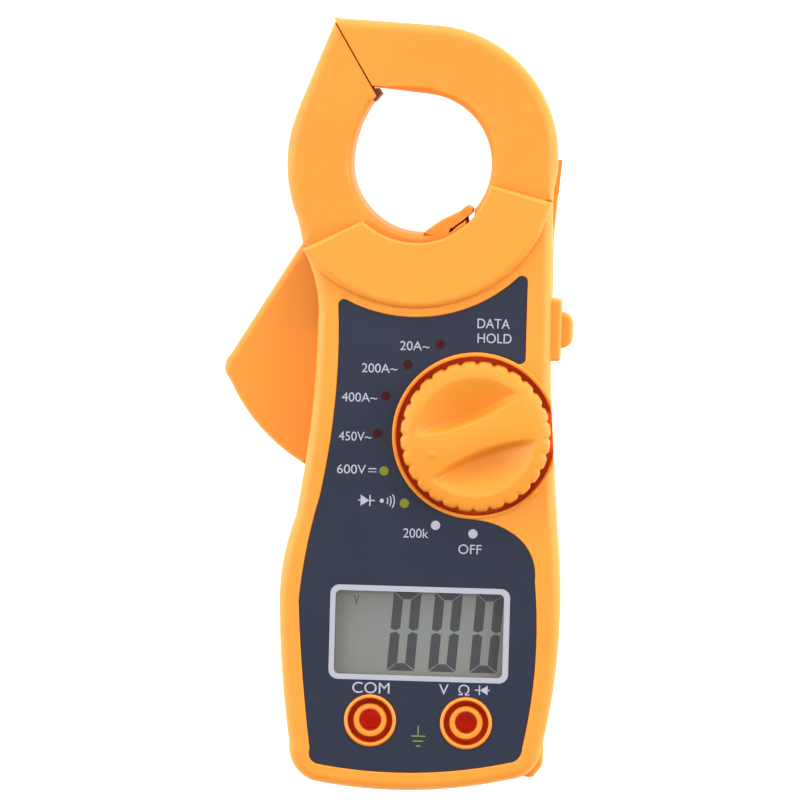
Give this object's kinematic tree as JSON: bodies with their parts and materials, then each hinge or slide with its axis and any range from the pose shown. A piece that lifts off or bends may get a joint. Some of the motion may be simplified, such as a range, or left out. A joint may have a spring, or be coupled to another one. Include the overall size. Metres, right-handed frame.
{
  "type": "clamp meter",
  "caption": "Hand-held clamp meter with a trigger-opened jaw, range knob, segment display, side push button and two input sockets.",
  "frame": {"origin": "middle of the back's resting face, half way between the axes of the two sockets and 40 mm above them", "axes": "+Z out of the front face, +Y towards the jaw's tip, +X to the right as seen from the front"},
  "size_m": [0.0694, 0.1529, 0.029],
  "materials": {
    "case_orange": "satin moulded ABS",
    "jaw_orange": "satin moulded ABS",
    "knob_orange": "satin moulded ABS",
    "label_slate": "printed polycarbonate film",
    "clear_lens": "clear acrylic with a printed border",
    "lcd_grey": "grey reflective liquid crystal glass",
    "white_plastic": "natural nylon",
    "zebra_rubber": "layered silicone",
    "board_green": "glass-epoxy board with solder mask",
    "black_epoxy": "potting epoxy",
    "resistor_lacquer": "lacquered bodies",
    "blue_plastic": "moulded",
    "black_plastic": "moulded",
    "brass": "turned",
    "iron_core": "laminated iron",
    "copper_winding": "enamelled wire",
    "copper_strip": "sprung strip",
    "bright_steel": "ground",
    "zinc_screw": "zinc plated",
    "cell_jacket": "plain sleeve"
  },
  "bodies": {
    "root": {"front_case": "case_orange", "rear_case": "case_orange", "face_label": "label_slate", "display_window": "clear_lens", "lcd_glass": "lcd_grey", "lcd_holder": "white_plastic", "zebra_strips": "zebra_rubber", "circuit_board": "board_green", "meter_chip": "black_epoxy", "resistors": "resistor_lacquer", "trimmer": "blue_plastic", "buzzer": "black_plastic", "hold_switch": "black_plastic", "socket_com": "brass", "socket_volt": "brass", "fixed_jaw_front": "jaw_orange", "fixed_jaw_rear": "jaw_orange", "fixed_core": "iron_core", "fixed_coil": "copper_winding", "pivot_pin": "bright_steel", "return_spring": "bright_steel", "button_spring": "bright_steel", "battery_cells": "cell_jacket", "battery_springs": "bright_steel", "battery_plates": "bright_steel", "case_screws": "zinc_screw", "root_screws": "zinc_screw", "fixed_jaw_screws": "zinc_screw", "board_screws": "zinc_screw"},
    "moving_jaw": {"moving_jaw_front": "jaw_orange", "moving_jaw_rear": "jaw_orange", "moving_core": "iron_core", "moving_coil": "copper_winding", "moving_jaw_screws": "zinc_screw"},
    "range_knob": {"dial_knob": "knob_orange", "switch_rotor": "white_plastic", "wiper_contacts": "copper_strip", "detent_balls": "bright_steel", "detent_springs": "bright_steel", "knob_screw": "zinc_screw"},
    "hold_button": {"hold_button": "knob_orange"},
    "battery_door": {"battery_door": "case_orange", "door_screw": "zinc_screw"}
  },
  "joints": [
    {"name": "jaw_open", "type": "hinge", "parent": "root", "child": "moving_jaw", "pos_m": [0.01, 0.049, 0.0125], "axis": [0, 0, 1], "range_deg": [0, 26], "stiffness_Nm_per_rad": 0.3, "springref_deg": -28.65},
    {"name": "knob_turn", "type": "hinge", "parent": "root", "child": "range_knob", "pos_m": [0.0099, 0.0171, 0.021], "axis": [0, 0, 1], "range_deg": [-90, 67.5]},
    {"name": "hold_press", "type": "slide", "parent": "root", "child": "hold_button", "axis": [-1, 0, 0], "range_m": [0, 0.0015], "stiffness_N_per_m": 400, "springref_m": -0.001, "deforming": ["button_spring"]},
    {"name": "door_lift", "type": "slide", "parent": "root", "child": "battery_door", "axis": [0, 0, -1], "range_m": [0, 0.03]}
  ]
}
